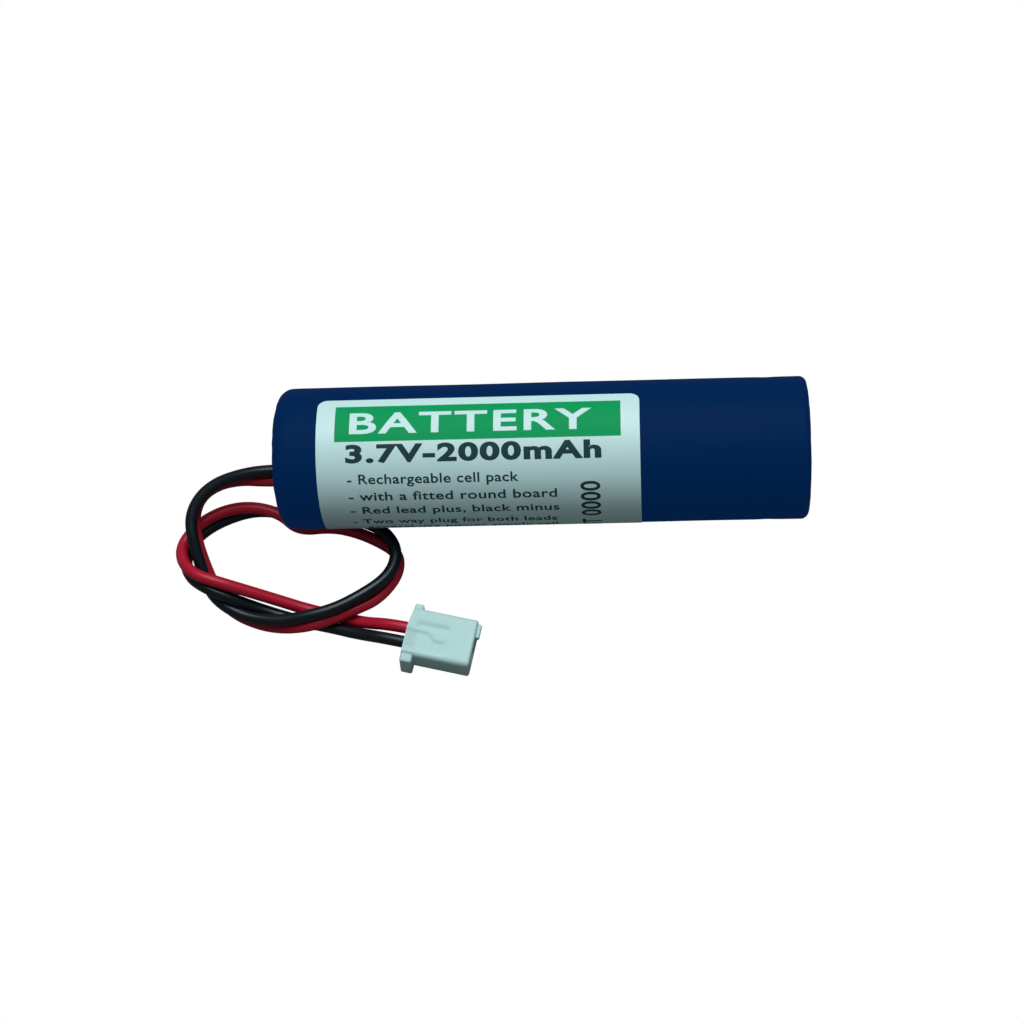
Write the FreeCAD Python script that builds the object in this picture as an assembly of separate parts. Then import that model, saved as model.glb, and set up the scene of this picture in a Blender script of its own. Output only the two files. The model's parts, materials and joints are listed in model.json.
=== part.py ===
import FreeCAD, Part
import math
import os

from FreeCAD import Placement, Rotation, Vector

# Single-cell battery pack: one cylindrical lithium-ion cell in heat-shrink, with a protection
# board at its negative end, two leads and a two-way plug. Millimetres.
# +X runs along the cell to its plain end, the leads leave at -X, and -Y is the label's side.
# The origin is under the middle of the sleeve, on the surface that the pack lies on.

# ---------------------------------------------------------------- driving dimensions
cell_length = 65.0          # can bottom to top of the cap
can_radius = 9.05
can_wall = 0.25
can_bottom_wall = 0.3
can_corner = 0.6

cell_sleeve_wall = 0.08     # the bare cell's own sleeve
cell_sleeve_lip = 1.45      # width that is turned in over each end of the can

sleeve_wall = 0.15          # outer heat-shrink
sleeve_clearance = 0.02     # between the two sleeves
sleeve_board_corner = 1.8   # rounding at the end with the leads
sleeve_plain_corner = 0.9
sleeve_lip = 3.3            # width that is turned in over each end of the pack

# the cap end of the cell
button_radius = 4.8
button_height = 1.15
button_slope = 0.5
cap_plate = 0.4
vent_hole_radius = 0.6
vent_hole_count = 4
crimp_reach = 1.75          # how far the can's rim is turned in
gasket_wall = 0.45
gasket_lip = 0.3
gasket_set_back = 0.2       # its lip ends this far behind the rim's edge
bead_depth = 0.9
bead_width = 1.25
ptc_thickness = 0.35
ptc_width = 2.75
vent_thickness = 0.3
vent_dimple_radius = 1.2
cid_insulator_thickness = 0.3
cid_insulator_width = 2.35
cid_plate_thickness = 0.4
cid_hole_offset = 1.0       # past the cathode's tab
washer_thickness = 0.15
washer_clearance = 0.4      # round the foot of the button
washer_margin = 0.25        # inside the can's side

# the wound roll
core_radius = 1.9
anode_thickness = 0.15
cathode_thickness = 0.16
separator_thickness = 0.06
sheet_gap = 0.02
roll_clearance = 0.1        # least room round the taped roll
roll_end_gap = 0.15
separator_overhang = 0.7    # past the anode at each end
anode_overhang = 0.5        # past the cathode at each end
roll_insulator = 0.2
roll_insulator_clearance = 0.2
roll_insulator_hole = 2.0
roll_tape_thickness = 0.06
roll_tape_length = 40.0
tab_thickness = 0.1
anode_tab_margin = 0.6      # from the side of the core
anode_tab_length = 4.0
anode_tab_foot = 1.2
cathode_tab_width = 4.0
cathode_tab_inset = 3.8     # from the can's inner side
cathode_tab_foot = 3.6

# what joins the cell to its board
strip_thickness = 0.12
strip_width = 5.0
strip_gap = 0.05
strip_insulator_thickness = 0.08
strip_insulator_margin = 0.4    # past each edge of the strip
strip_angle = -45.0         # round the axis from +Y, so at the back and low down
strip_foot = 1.6            # length of each strip's foot on the board
negative_strip_width = 4.0
negative_strip_inset = 0.95     # from the board's edge
negative_strip_tail = 2.5
rib_margin = 0.2            # free width beside the strip's card, under the outer sleeve
rib_slope = 0.24            # how far the rib's ends lean in

# the board end
board_clearance = 0.9       # round the board, inside the outer sleeve
board_thickness = 0.8
board_insulator_thickness = 0.2
component_space = 1.2
joint_space = 0.75          # between the board and the cover disc
joint_height = 0.375
joint_shoulder = 0.18       # solder past the conductor at the joint's top
joint_margin = 0.05         # bare pad round the joint's foot
conductor_tail = 0.375      # past the board's inner face
pad_thickness = 0.04
pad_inset = 0.35            # from the board's edge
end_disc_thickness = 0.2
end_disc_clearance = 0.1

# components on the board, each with its place as shares of the board's radius
mosfet_place = (0.35, -0.07)
mosfet_size = (3.0, 4.4, 1.0)
mosfet_pins_per_side = 4
mosfet_pin_pitch = 0.65
ic_place = (-0.485, 0.315)
ic_size = (2.9, 1.6, 1.0)
ic_pins_per_side = 3
ic_pin_pitch = 0.95
resistor_places = [(-0.485, -0.595), (-0.315, -0.595), (-0.145, -0.595)]
resistor_size = (0.8, 1.6, 0.45)
capacitor_place = (0.05, 0.47)
capacitor_size = (1.6, 0.8, 0.8)
chip_lift = 0.1
pin_width = 0.3
pin_foot = 0.5
pin_foot_thickness = 0.15
pin_shank = 0.15            # outside the body
pin_root = 0.2              # inside the body
pin_height = 0.4

# the leads
lead_radius = 0.8
conductor_radius = 0.36
lead_hole_clearance = 0.05
lead_run_in = 4.0           # the last run, in line with its cavity
arc_share = 0.45            # of the shorter run, taken by the arc at each corner

# the label
label_offset = 5.97         # from the board's end of the sleeve
label_length = 41.4
label_low_angle = -29.0     # round the axis from -Y upward
label_high_angle = 121.0
label_thickness = 0.08
label_corner = 1.3

# the plug, in its own frame: u forward to the mating end, v sideways, w up
plug_place = Vector(-18.0, -22.9, 0.0)
plug_yaw = -12.0
plug_pitch = 4.0            # nose down, so that flange and nose both rest
plug_roll = -3.0
plug_length = 8.6
plug_body_width = 6.6
plug_body_height = 4.8
plug_flange_width = 7.8
plug_flange_height = 5.9
plug_flange_length = 1.1
plug_flange_corner = 0.9
plug_edge = 0.35
contact_pitch = 2.0
cavity_play = 0.2           # wider than the lead
window_length = 4.4
window_width = 1.0
window_depth = 0.35
nose_lip_length = 0.5
nose_lip_width = 2.2
nose_lip_height = 1.0
contact_play = 0.2          # narrower than the cavity
contact_wall = 0.2
contact_start = 1.2         # behind it is the end of the lead
crimp_length = 2.0
contact_length = 6.6

# ---------------------------------------------------------------- radii that follow
sleeve_outer_radius = can_radius + cell_sleeve_wall + sleeve_clearance + sleeve_wall
sleeve_opening_radius = sleeve_outer_radius - sleeve_lip
can_inner_radius = can_radius - can_wall
cell_sleeve_radius = can_radius + cell_sleeve_wall
cell_sleeve_lip_radius = can_radius - cell_sleeve_lip
crimp_radius = can_radius - crimp_reach
gasket_lip_radius = crimp_radius + gasket_set_back
stack_radius = can_inner_radius - gasket_wall
ptc_inner_radius = stack_radius - ptc_width
cid_insulator_inner_radius = stack_radius - cid_insulator_width
washer_inner_radius = button_radius + button_slope + washer_clearance
washer_outer_radius = can_radius - washer_margin

roll_pitch = anode_thickness + cathode_thickness + 2 * separator_thickness + 4 * sheet_gap
roll_room = can_inner_radius - roll_clearance - roll_tape_thickness - sheet_gap - core_radius
roll_turns = math.floor(roll_room / roll_pitch) - 1
roll_outer_radius = core_radius + roll_pitch * (roll_turns + 1)
roll_insulator_radius = can_inner_radius - roll_insulator_clearance
anode_tab_width = 2 * (core_radius - anode_tab_margin)
cathode_tab_offset = can_inner_radius - cathode_tab_inset

strip_inner_radius = cell_sleeve_radius + strip_insulator_thickness
strip_outer_radius = strip_inner_radius + strip_thickness
strip_insulator_width = strip_width + 2 * strip_insulator_margin
board_radius = sleeve_outer_radius - sleeve_wall - board_clearance
negative_strip_reach = board_radius - negative_strip_inset

cavity_width = 2 * lead_radius + cavity_play
contact_width = cavity_width - contact_play
body_floor = (plug_flange_height - plug_body_height) / 2
cavity_level = plug_flange_height / 2

# ---------------------------------------------------------------- places along the cell
board_stack = (sleeve_wall + end_disc_thickness + joint_space + board_thickness
               + component_space + board_insulator_thickness + strip_gap + strip_thickness)
plain_stack = strip_thickness + end_disc_thickness + sleeve_wall
overall_length = board_stack + cell_length + plain_stack

axis_z = sleeve_outer_radius
board_face_x = -overall_length / 2
plain_face_x = overall_length / 2
cover_disc_x = board_face_x + sleeve_wall
board_outer_x = cover_disc_x + end_disc_thickness + joint_space
board_inner_x = board_outer_x + board_thickness
can_bottom_x = board_face_x + board_stack
cap_top_x = can_bottom_x + cell_length

flange_top_x = cap_top_x - button_height
crimp_x = flange_top_x + gasket_lip + can_wall
cap_start_x = flange_top_x - cap_plate
ptc_start_x = cap_start_x - ptc_thickness
vent_start_x = ptc_start_x - vent_thickness
cid_insulator_start_x = vent_start_x - cid_insulator_thickness
cid_plate_start_x = cid_insulator_start_x - cid_plate_thickness
bead_shoulder_x = cid_plate_start_x - gasket_lip
bead_end_x = bead_shoulder_x - can_wall
bead_start_x = bead_end_x - bead_width

roll_start_x = can_bottom_x + can_bottom_wall + roll_insulator + roll_end_gap
roll_end_x = bead_start_x - can_wall - roll_insulator - roll_end_gap
label_start = board_face_x + label_offset
label_end = label_start + label_length

# ---------------------------------------------------------------- the leads' routes
# Each list starts behind the cover disc. Its last two points come from the plug's place. The lists
# and that place are written for a board end at x = route_face_x, and move along X with that end.
route_face_x = -34.47
red_route = [
    (-33.9, -2.3, 7.4), (-37.0, -2.3, 7.4), (-40.4, -1.8, 6.8), (-43.7, -2.1, 5.9), (-46.1, -3.6, 5.3),
    (-47.0, -6.1, 4.7), (-46.7, -9.0, 3.8), (-45.8, -11.9, 2.2), (-44.7, -14.5, 0.8), (-43.6, -16.8, 0.8),
    (-41.2, -18.9, 0.8), (-37.9, -20.3, 0.8), (-34.7, -21.0, 1.5), (-31.4, -21.1, 2.6), (-28.3, -20.2, 2.6),
    (-25.2, -18.9, 2.6), (-22.5, -17.4, 1.8), (-20.5, -14.9, 1.1), (-19.6, -12.6, 0.8), (-20.0, -10.5, 0.8),
    (-22.4, -8.9, 0.8), (-25.5, -7.6, 1.2), (-28.8, -7.0, 1.8), (-33.3, -7.4, 1.8), (-35.6, -5.2, 2.3),
    (-39.2, -4.2, 2.6), (-42.7, -4.4, 2.5), (-45.9, -5.8, 2.4), (-48.0, -7.9, 2.4), (-48.9, -10.0, 2.8),
    (-48.2, -12.5, 4.5), (-46.3, -14.7, 5.9), (-43.1, -15.8, 5.9), (-39.4, -16.6, 4.3), (-35.6, -17.4, 2.5),
    (-31.9, -18.3, 1.1), (-28.1, -19.2, 0.8), (-24.2, -20.1, 1.0)]
black_route = [
    (-33.9, -1.4, 8.9), (-37.0, -1.4, 8.9), (-40.4, -1.8, 8.5), (-43.6, -2.6, 7.7), (-45.9, -4.3, 7.0),
    (-47.1, -6.8, 6.3), (-46.8, -9.6, 5.4), (-46.1, -12.2, 3.9), (-45.3, -14.7, 2.5), (-44.1, -16.9, 2.4),
    (-41.5, -18.9, 2.6), (-38.4, -20.0, 2.7), (-34.9, -20.5, 3.2), (-31.1, -20.1, 4.0), (-27.6, -19.2, 4.1),
    (-24.4, -17.5, 4.0), (-21.6, -15.4, 3.4), (-20.1, -13.2, 2.9), (-19.8, -10.7, 2.7), (-21.3, -8.1, 2.3),
    (-24.6, -6.0, 1.0), (-28.4, -5.6, 0.8), (-32.9, -5.9, 0.8), (-36.1, -4.4, 0.8), (-39.6, -4.1, 0.8),
    (-43.1, -5.1, 0.8), (-46.1, -6.7, 0.8), (-48.2, -8.9, 0.8), (-48.6, -11.3, 1.2), (-47.4, -14.2, 3.5),
    (-45.1, -16.1, 4.6), (-42.1, -17.1, 4.1), (-39.0, -17.9, 2.2), (-35.6, -19.0, 0.9), (-32.2, -20.0, 0.8),
    (-28.5, -20.8, 0.8), (-25.0, -22.1, 1.4)]
route_shift = board_face_x - route_face_x
red_lead_points = [(x + route_shift, y, z) for x, y, z in red_route]
black_lead_points = [(x + route_shift, y, z) for x, y, z in black_route]


# ---------------------------------------------------------------- shape helpers
def ring(start, end, outer, inner=0.0):
    """A disc or ring about the cell's axis, from start to end along X."""
    centre = Vector(start, 0, axis_z)
    body = Part.makeCylinder(outer, end - start, centre, Vector(1, 0, 0))
    if inner > 0:
        body = body.cut(Part.makeCylinder(inner, end - start, centre, Vector(1, 0, 0)))
    return body


def turned(profile, angle_start=0.0, angle_width=360.0):
    """Turn a closed outline of (x, radius) points about the axis. Angles run from +Y upward."""
    points = [Vector(x, radius, 0) for x, radius in profile]
    face = Part.Face(Part.makePolygon(points + points[:1]))
    body = face.revolve(Vector(0, 0, 0), Vector(1, 0, 0), angle_width)
    body.Placement = Placement(Vector(0, 0, axis_z), Rotation(Vector(1, 0, 0), angle_start))
    return body


def sector(start, end, outer, inner, middle_angle, width):
    """A strip of a ring, as wide along its inner arc as width."""
    half = math.degrees(width / 2 / inner)
    outline = [(start, inner), (end, inner), (end, outer), (start, outer)]
    return turned(outline, middle_angle - half, 2 * half)


def box(x, y, z):
    """A box from three (low, high) pairs, with z measured from the cell's axis."""
    size = (x[1] - x[0], y[1] - y[0], z[1] - z[0])
    return Part.makeBox(*size, Vector(x[0], y[0], axis_z + z[0]))


def rounded_profile(wall):
    """The sleeve's outline in (x, radius), inset by a wall, with both shoulders as arcs."""
    radius = sleeve_outer_radius - wall
    left = Vector(board_face_x + sleeve_board_corner, sleeve_outer_radius - sleeve_board_corner, 0)
    right = Vector(plain_face_x - sleeve_plain_corner, sleeve_outer_radius - sleeve_plain_corner, 0)
    left_arc = sleeve_board_corner - wall
    right_arc = sleeve_plain_corner - wall
    slope = math.sqrt(0.5)
    points = [
        Vector(board_face_x + wall, 0, 0),
        Vector(board_face_x + wall, left.y, 0),
        left + Vector(-left_arc * slope, left_arc * slope, 0),
        Vector(left.x, radius, 0),
        Vector(right.x, radius, 0),
        right + Vector(right_arc * slope, right_arc * slope, 0),
        Vector(plain_face_x - wall, right.y, 0),
        Vector(plain_face_x - wall, 0, 0)]
    edges = [
        Part.LineSegment(points[0], points[1]).toShape(),
        Part.Arc(points[1], points[2], points[3]).toShape(),
        Part.LineSegment(points[3], points[4]).toShape(),
        Part.Arc(points[4], points[5], points[6]).toShape(),
        Part.LineSegment(points[6], points[7]).toShape(),
        Part.LineSegment(points[7], points[0]).toShape()]
    return Part.Face(Part.Wire(edges))


# ---------------------------------------------------------------- the cell
def cell_can():
    """Steel cup, with a bead rolled in under the cap and its rim crimped over the gasket."""
    groove = can_radius - bead_depth
    inner = can_inner_radius
    inner_groove = groove - can_wall
    floor = can_bottom_x + can_bottom_wall
    outer_line = [
        (can_bottom_x, 0), (can_bottom_x, can_radius - can_corner), (can_bottom_x + can_corner, can_radius),
        (bead_start_x, can_radius), (bead_start_x + can_wall, groove), (bead_end_x, groove),
        (bead_end_x, can_radius), (crimp_x, can_radius), (crimp_x, crimp_radius)]
    inner_line = [
        (crimp_x - can_wall, crimp_radius), (crimp_x - can_wall, inner), (bead_shoulder_x, inner),
        (bead_shoulder_x, inner_groove), (bead_start_x - can_wall, inner_groove),
        (bead_start_x - can_wall, inner), (floor + can_corner, inner), (floor, inner - can_corner),
        (floor, 0)]
    return turned(outer_line + inner_line)


def crimp_gasket():
    """Plastic ring that insulates the cap stack from the can, with a lip over and under it."""
    wall = ring(bead_shoulder_x, crimp_x - can_wall, can_inner_radius, stack_radius)
    upper = ring(flange_top_x, crimp_x - can_wall, can_inner_radius, gasket_lip_radius)
    lower = ring(bead_shoulder_x, cid_plate_start_x, can_inner_radius, gasket_lip_radius)
    return wall.fuse([upper, lower]).removeSplitter()


def around(count, radius, offset_angle=0.0):
    """Evenly spaced (y, z) places round the axis."""
    angles = [math.radians(offset_angle + 360 * step / count) for step in range(count)]
    return [(radius * math.cos(angle), radius * math.sin(angle)) for angle in angles]


def top_cap():
    """The positive button: a flange and a hollow raised disc with vent holes in its slope."""
    foot = button_radius + button_slope
    plate = cap_plate
    outline = [
        (cap_start_x, stack_radius), (flange_top_x, stack_radius), (flange_top_x, foot),
        (cap_top_x, button_radius), (cap_top_x, 0), (cap_top_x - plate, 0),
        (cap_top_x - plate, button_radius - plate), (flange_top_x, foot - plate),
        (cap_start_x, foot - plate)]
    cap = turned(outline)
    middle = (flange_top_x + cap_top_x) / 2
    for y, z in around(vent_hole_count, 1.0):
        centre = Vector(middle, 0, axis_z)
        cap = cap.cut(Part.makeCylinder(vent_hole_radius / 2, can_radius, centre, Vector(0, y, z)))
    return cap


def vent_disc():
    """Burst disc, dimpled in the middle so that it touches the plate below."""
    disc = ring(vent_start_x, ptc_start_x, stack_radius)
    dimple = ring(cid_insulator_start_x, vent_start_x, vent_dimple_radius)
    return disc.fuse(dimple).removeSplitter()


def cid_plate():
    """Lowest plate of the cap stack, with gas holes round its middle."""
    plate = ring(cid_plate_start_x, cid_insulator_start_x, stack_radius)
    for y, z in around(vent_hole_count, cathode_tab_offset + cid_hole_offset, 180 / vent_hole_count):
        centre = Vector(cid_plate_start_x, y, axis_z + z)
        plate = plate.cut(Part.makeCylinder(vent_hole_radius, cid_plate_thickness, centre, Vector(1, 0, 0)))
    return plate


def spiral_sheet(offset, thickness, start, end):
    """A wound sheet: half circles about two centres half a pitch apart, extruded along X."""
    shift = roll_pitch / 2

    def boundary(radius):
        arcs = []
        for half_turn in range(2 * roll_turns):
            reach = radius + shift * half_turn
            centre = 0 if half_turn % 2 == 0 else shift
            side = 1 if half_turn % 2 == 0 else -1
            first = Vector(start, centre + side * reach, axis_z)
            middle = Vector(start, centre, axis_z + side * reach)
            last = Vector(start, centre - side * reach, axis_z)
            arcs.append(Part.Arc(first, middle, last).toShape())
        return arcs

    inside = boundary(core_radius + offset)
    outside = boundary(core_radius + offset + thickness)
    first_cap = Part.LineSegment(inside[0].Vertexes[0].Point, outside[0].Vertexes[0].Point).toShape()
    last_cap = Part.LineSegment(inside[-1].Vertexes[-1].Point, outside[-1].Vertexes[-1].Point).toShape()
    outline = Part.Wire(Part.__sortEdges__(inside + outside + [first_cap, last_cap]))
    return Part.Face(outline).extrude(Vector(end - start, 0, 0))


def jelly_roll():
    """Anode, separator, cathode and separator, each a little narrower than what guards it."""
    sheets = {}
    offset = 0.0
    margin = separator_overhang
    layers = [
        ("anode_sheet", anode_thickness, margin),
        ("separator_inner", separator_thickness, 0.0),
        ("cathode_sheet", cathode_thickness, margin + anode_overhang),
        ("separator_outer", separator_thickness, 0.0)]
    for name, thickness, inset in layers:
        sheets[name] = spiral_sheet(offset, thickness, roll_start_x + inset, roll_end_x - inset)
        offset += thickness + sheet_gap
    return sheets


def anode_tab():
    """Nickel tab down the middle of the roll, bent flat and welded to the can's floor."""
    floor = can_bottom_x + can_bottom_wall
    half = anode_tab_width / 2
    leg = box((floor, floor + anode_tab_length), (-half, half), (-tab_thickness / 2, tab_thickness / 2))
    foot = box((floor, floor + tab_thickness), (-half, half), (-tab_thickness / 2, anode_tab_foot))
    return leg.fuse(foot).removeSplitter()


def cathode_tab():
    """Aluminium tab from the top of the roll, through the insulator, to the lowest cap plate."""
    half = cathode_tab_width / 2
    level = cathode_tab_offset
    leg = box((roll_end_x, cid_plate_start_x), (-half, half), (level, level + tab_thickness))
    foot = box((cid_plate_start_x - tab_thickness, cid_plate_start_x), (-half, half),
               (level - cathode_tab_foot, level))
    return leg.fuse(foot).removeSplitter()


def top_insulator():
    """Disc over the roll, with a middle hole and a slot for the cathode's tab."""
    end = bead_start_x - can_wall
    slack = 2 * sheet_gap
    half = cathode_tab_width / 2 + slack
    level = cathode_tab_offset
    disc = ring(end - roll_insulator, end, roll_insulator_radius, roll_insulator_hole)
    slot = box((end - roll_insulator, end), (-half, half), (level - slack, level + tab_thickness + slack))
    return disc.cut(slot)


def cell_sleeve():
    """The bare cell's own sleeve, shrunk over both of its ends."""
    tube = ring(can_bottom_x, crimp_x, cell_sleeve_radius, can_radius)
    bottom = ring(can_bottom_x - cell_sleeve_wall, can_bottom_x, cell_sleeve_radius, cell_sleeve_lip_radius)
    top = ring(crimp_x, crimp_x + cell_sleeve_wall, cell_sleeve_radius, cell_sleeve_lip_radius)
    return tube.fuse([bottom, top]).removeSplitter()


def positive_washer():
    """Card ring round the button, on the sleeve's turned-over end."""
    start = crimp_x + cell_sleeve_wall
    return ring(start, start + washer_thickness, washer_outer_radius, washer_inner_radius)


# ---------------------------------------------------------------- the board end
def radial_box(x, width, reach, angle):
    """A box that runs outward from the axis, between two radii, at an angle from +Y upward."""
    body = Part.makeBox(x[1] - x[0], reach[1] - reach[0], width, Vector(x[0], reach[0], -width / 2))
    body.Placement = Placement(Vector(0, 0, axis_z), Rotation(Vector(1, 0, 0), angle))
    return body


def positive_strip():
    """Nickel strip from the button, along the cell and in over the board's inner face."""
    foot_x = board_inner_x + pad_thickness
    side = sector(foot_x, cap_top_x + strip_thickness, strip_outer_radius, strip_inner_radius,
                  strip_angle, strip_width)
    bend = strip_inner_radius + strip_thickness / 2
    over_cap = radial_box((cap_top_x, cap_top_x + strip_thickness), strip_width,
                          (-strip_width / 2, bend), strip_angle)
    over_board = radial_box((foot_x, foot_x + strip_thickness), strip_width,
                            (board_radius - strip_foot, bend), strip_angle)
    limit = ring(foot_x, cap_top_x + strip_thickness, strip_outer_radius)
    return side.fuse([over_cap, over_board]).common(limit).removeSplitter()


def strip_insulator():
    """Adhesive card between the positive strip and the cell's side."""
    return sector(can_bottom_x, crimp_x, strip_inner_radius, cell_sleeve_radius,
                  strip_angle, strip_insulator_width)


def negative_strip():
    """Nickel strip from the can's bottom, bent back to the board."""
    half = negative_strip_width / 2
    foot_x = board_inner_x + pad_thickness
    reach = negative_strip_reach
    weld = box((can_bottom_x - strip_thickness, can_bottom_x), (-half, half), (-negative_strip_tail, reach))
    leg = box((foot_x, can_bottom_x), (-half, half), (reach - strip_thickness, reach))
    foot = box((foot_x, foot_x + strip_thickness), (-half, half), (reach - strip_foot, reach))
    return weld.fuse([leg, foot]).removeSplitter()


def board_insulator():
    """Card disc between the cell and the board's components, notched for both strips."""
    end = can_bottom_x - strip_thickness
    start = end - board_insulator_thickness
    disc = ring(start, end, board_radius)
    clearance = strip_gap + strip_thickness
    notch = box((start, end), (-negative_strip_width / 2 - clearance, negative_strip_width / 2 + clearance),
                (negative_strip_reach - clearance, board_radius))
    return disc.cut(notch)


def protection_board():
    """Round circuit board with a hole for each lead."""
    board = ring(board_outer_x, board_inner_x, board_radius)
    for point in (red_lead_points[0], black_lead_points[0]):
        board = board.cut(lead_bore(point, board_outer_x, board_inner_x, conductor_radius))
    return board


def lead_bore(point, start, end, radius):
    """A cylinder along X, in line with the start of a lead."""
    return Part.makeCylinder(radius, end - start, Vector(start, point[1], point[2]), Vector(1, 0, 0))


def solder_pads():
    """Copper pads: one round each lead and one under each strip's foot."""
    pads = []
    outer = (board_outer_x - pad_thickness, board_outer_x)
    for point in (red_lead_points[0], black_lead_points[0]):
        pads.append(lead_bore(point, *outer, lead_radius).cut(lead_bore(point, *outer, conductor_radius)))
    half = negative_strip_width / 2
    reach = negative_strip_reach
    inner = (board_inner_x, board_inner_x + pad_thickness)
    pads.append(box(inner, (-half, half), (reach - strip_foot, reach)))
    pads.append(radial_box(inner, strip_width, (board_radius - strip_foot, board_radius - pad_inset),
                           strip_angle).common(ring(inner[0], inner[1], board_radius)))
    return Part.makeCompound(pads)


def solder_joints():
    """A fillet of solder round each conductor, on the board's outer face."""
    joints = []
    base = board_outer_x - pad_thickness
    height = joint_height
    for point in (red_lead_points[0], black_lead_points[0]):
        cone = Part.makeCone(lead_radius - joint_margin, conductor_radius + joint_shoulder, height,
                             Vector(base, point[1], point[2]), Vector(-1, 0, 0))
        joints.append(cone.cut(lead_bore(point, base - height, base, conductor_radius)))
    return Part.makeCompound(joints)


def conductor(point):
    """The bared end of a lead, from its insulation through the board."""
    return lead_bore(point, point[0], board_inner_x + conductor_tail, conductor_radius)


def chip_body(place, size, lift=0.0):
    """The body of a component on the board's inner face."""
    y, z = place[0] * board_radius, place[1] * board_radius
    width, depth, height = size
    return box((board_inner_x + lift, board_inner_x + height), (y - width / 2, y + width / 2),
               (z - depth / 2, z + depth / 2))


def pinned_chip(place, size, pins_per_side, pin_pitch):
    """A component that stands on flat-footed pins along two of its sides."""
    y, z = place[0] * board_radius, place[1] * board_radius
    depth = size[1]
    base = board_inner_x
    pins = []
    for number in range(pins_per_side):
        middle = y + (number - (pins_per_side - 1) / 2) * pin_pitch
        across = (middle - pin_width / 2, middle + pin_width / 2)
        for side in (-1, 1):
            edge = z + side * depth / 2
            foot = sorted((edge, edge + side * pin_foot))
            pins.append(box((base, base + pin_foot_thickness), across, foot))
            shank = sorted((edge - side * pin_root, edge + side * pin_shank))
            pins.append(box((base, base + pin_height), across, shank))
    return chip_body(place, size, chip_lift).fuse(pins).removeSplitter()


# ---------------------------------------------------------------- wrapping, leads and label
def outer_sleeve():
    """Heat-shrink tube, shrunk over both ends and raised in a rib over the positive strip."""
    rib_half = strip_insulator_width / 2 + rib_margin
    pocket = strip_outer_radius + sheet_gap
    end_slope = rib_slope
    rib_start = board_inner_x - strip_thickness
    rib_end = cap_top_x + strip_thickness + sheet_gap
    angle = math.degrees(rib_half / sleeve_outer_radius)
    edge = math.degrees(sleeve_wall / sleeve_outer_radius)

    def rib(top, grow, spread):
        outline = [(rib_start - grow, can_radius - end_slope), (rib_end + grow, can_radius - end_slope),
                   (rib_end + grow, top - end_slope), (rib_end + grow - end_slope, top),
                   (rib_start - grow + end_slope, top), (rib_start - grow, top - end_slope)]
        return turned(outline, strip_angle - spread, 2 * spread)

    axis = Vector(1, 0, 0)
    outside = rounded_profile(0.0).revolve(Vector(0, 0, 0), axis, 360)
    inside = rounded_profile(sleeve_wall).revolve(Vector(0, 0, 0), axis, 360)
    outside.translate(Vector(0, 0, axis_z))
    inside.translate(Vector(0, 0, axis_z))
    inside_rib = turned([(rib_start, can_radius - end_slope), (rib_end, can_radius - end_slope),
                         (rib_end, pocket), (rib_start, pocket)], strip_angle - angle, 2 * angle)
    wrap = outside.fuse(rib(pocket + sleeve_wall, sleeve_wall / 2, angle + edge)).removeSplitter()
    opening = ring(board_face_x, plain_face_x, sleeve_opening_radius)
    return wrap.cut(inside.fuse(inside_rib)).cut(opening)


def board_cover_disc():
    """Card disc that closes the board's end, with a snug hole for each lead."""
    radius = sleeve_outer_radius - sleeve_board_corner - end_disc_clearance
    end = cover_disc_x + end_disc_thickness
    disc = ring(cover_disc_x, end, radius)
    for point in (red_lead_points[0], black_lead_points[0]):
        disc = disc.cut(lead_bore(point, cover_disc_x, end, lead_radius + lead_hole_clearance))
    return disc


def plain_end_disc():
    """Card disc that closes the plain end, over the positive strip."""
    radius = sleeve_outer_radius - sleeve_plain_corner - end_disc_clearance
    return ring(plain_face_x - sleeve_wall - end_disc_thickness, plain_face_x - sleeve_wall, radius)


def label():
    """Printed label with rounded corners, wrapped round the front of the sleeve."""
    outer = sleeve_outer_radius + label_thickness
    start_angle = 180.0 - label_high_angle
    end_angle = 180.0 - label_low_angle
    sheet = turned([(label_start, sleeve_outer_radius), (label_end, sleeve_outer_radius),
                    (label_end, outer), (label_start, outer)], start_angle, end_angle - start_angle)
    corner_angle = math.degrees(label_corner / outer)
    for x, inward in ((label_start, 1), (label_end, -1)):
        for angle, turn in ((start_angle, 1), (end_angle, -1)):
            low, high = sorted((x, x + inward * label_corner))
            first = min(angle, angle + turn * corner_angle)
            beyond = outer + sleeve_wall
            corner = turned([(low, can_radius), (high, can_radius), (high, beyond), (low, beyond)],
                            first, corner_angle)
            centre = math.radians(angle + turn * corner_angle)
            outward = Vector(0, math.cos(centre), math.sin(centre))
            foot = Vector(x + inward * label_corner, 0, axis_z) + outward * can_radius
            post = Part.makeCylinder(label_corner, sleeve_outer_radius, foot, outward)
            sheet = sheet.cut(corner.cut(post))
    return sheet


def lead_path(points, name):
    """Straight runs joined by tangent arcs, each as large as its two runs allow."""
    points = [Vector(*point) for point in points]
    edges = []
    radii = []
    current = points[0]
    for before, corner, after in zip(points, points[1:], points[2:]):
        back = (before - corner)
        ahead = (after - corner)
        shorter = min(back.Length, ahead.Length)
        turn = math.pi - back.getAngle(ahead)
        back.normalize()
        ahead.normalize()
        setback = arc_share * shorter
        radius = setback / math.tan(turn / 2)
        arc_start = corner + back * setback
        arc_end = corner + ahead * setback
        inward = back + ahead
        inward.normalize()
        middle = corner + inward * (radius / math.cos(turn / 2) - radius)
        edges.append(Part.LineSegment(current, arc_start).toShape())
        edges.append(Part.Arc(arc_start, middle, arc_end).toShape())
        radii.append(radius)
        current = arc_end
    edges.append(Part.LineSegment(current, points[-1]).toShape())
    path = Part.Wire(edges)
    print(name, "length", round(path.Length, 1), "radii", [round(radius, 1) for radius in radii])
    return path


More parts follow.
